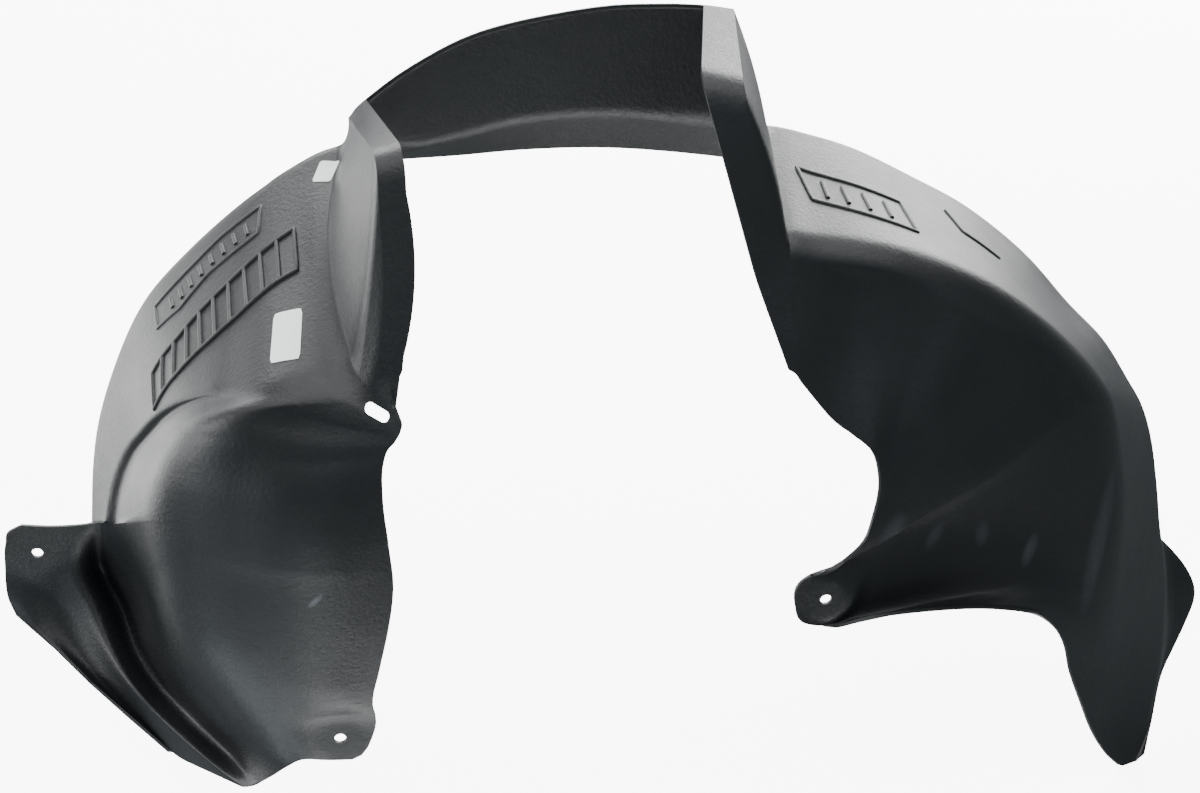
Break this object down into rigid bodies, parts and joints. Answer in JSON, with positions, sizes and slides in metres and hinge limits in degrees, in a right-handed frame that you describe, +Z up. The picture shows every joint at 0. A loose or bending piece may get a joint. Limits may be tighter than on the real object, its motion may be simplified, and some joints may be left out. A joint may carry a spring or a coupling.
{
  "type": "wheel arch liner",
  "caption": "Formed plastic liner for a vehicle's front wheel arch, with a hood open to the strut, bulged side panels, fixing ears and paper labels.",
  "frame": {"origin": "centre of the clip hole in the left ear, on the sheet's inboard face", "axes": "+X along the vehicle over the arch, +Y outboard to the fender rim, +Z up"},
  "size_m": [0.8589, 0.2237, 0.5113],
  "materials": {
    "liner": "semi-gloss black with a fine grain",
    "label": "matt white"
  },
  "bodies": {
    "root": {"liner": "liner", "side_label": "label", "crown_label": "label"}
  },
  "joints": []
}
